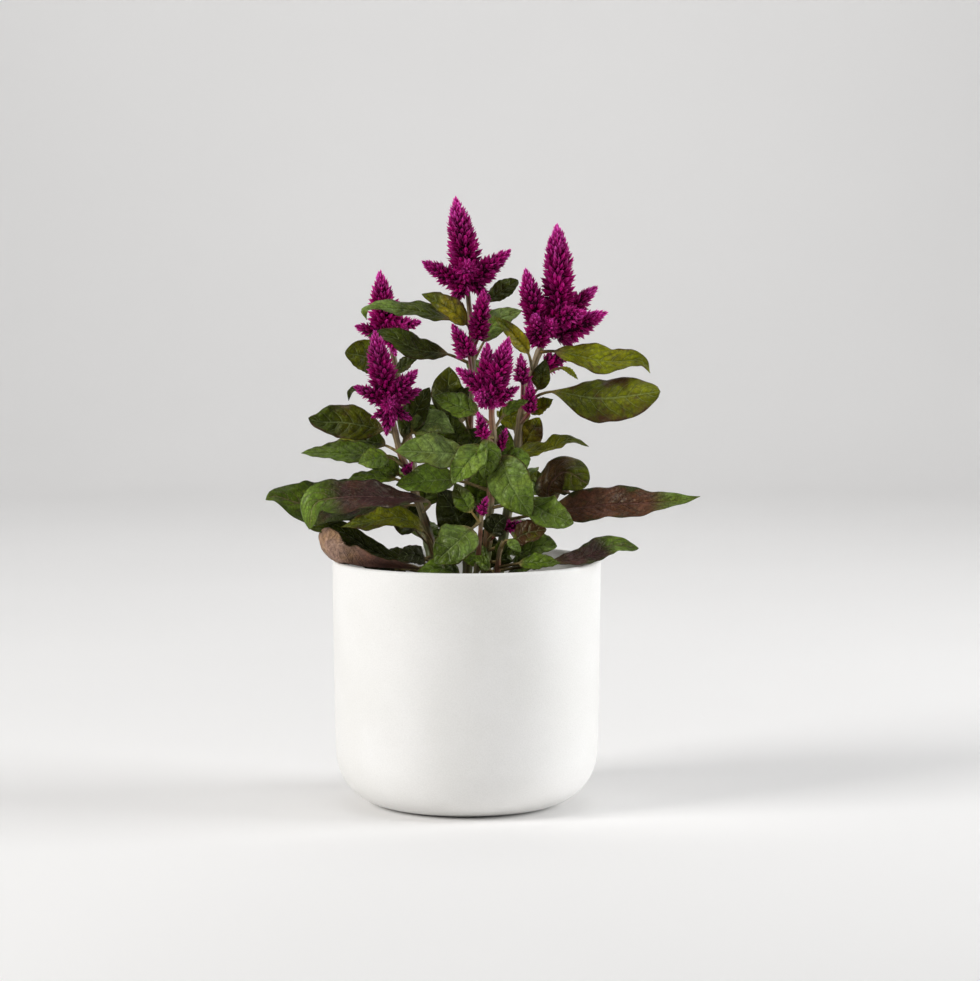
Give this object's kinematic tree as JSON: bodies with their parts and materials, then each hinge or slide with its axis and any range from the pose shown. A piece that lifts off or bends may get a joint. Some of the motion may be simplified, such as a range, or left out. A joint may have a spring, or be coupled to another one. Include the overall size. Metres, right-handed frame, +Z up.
{
  "type": "potted cockscomb celosia",
  "caption": "Cockscomb celosia with plume-shaped magenta bloom heads and green and bronze leaves in a plain round white pot.",
  "frame": {"origin": "centre of the pot's flat underside", "axes": "+Z up, -Y towards the viewer who sees the plant from its front, +X to that viewer's right"},
  "size_m": [0.2234, 0.1501, 0.318],
  "materials": {
    "pot": "matte",
    "soil": "matte",
    "green": "satin",
    "bronze": "satin",
    "magenta": "matte"
  },
  "bodies": {
    "root": {"pot": "pot", "soil": "soil", "leafy_stem_a": "green", "leafy_stem_b": "green", "leafy_stem_c": "green", "leafy_stem_d": "green", "leafy_stem_e": "green", "leafy_stem_f": "green", "leafy_stem_g": "green", "bronze_leaf_left_long": "bronze", "bronze_leaf_left_bent": "bronze", "bronze_leaf_left_rim": "bronze", "bronze_leaf_right_dome": "bronze", "bronze_leaf_right_long": "bronze", "bronze_leaf_right_rim": "bronze", "bloom_head_a": "magenta", "bloom_head_b": "magenta", "bloom_head_c": "magenta", "bloom_head_d": "magenta", "bloom_head_e": "magenta", "small_bloom_1": "magenta", "small_bloom_2": "magenta", "small_bloom_3": "magenta", "small_bloom_4": "magenta", "small_bloom_5": "magenta", "small_bloom_6": "magenta", "small_bloom_7": "magenta", "small_bloom_8": "magenta", "small_bloom_9": "magenta", "small_bloom_10": "magenta"}
  },
  "joints": []
}
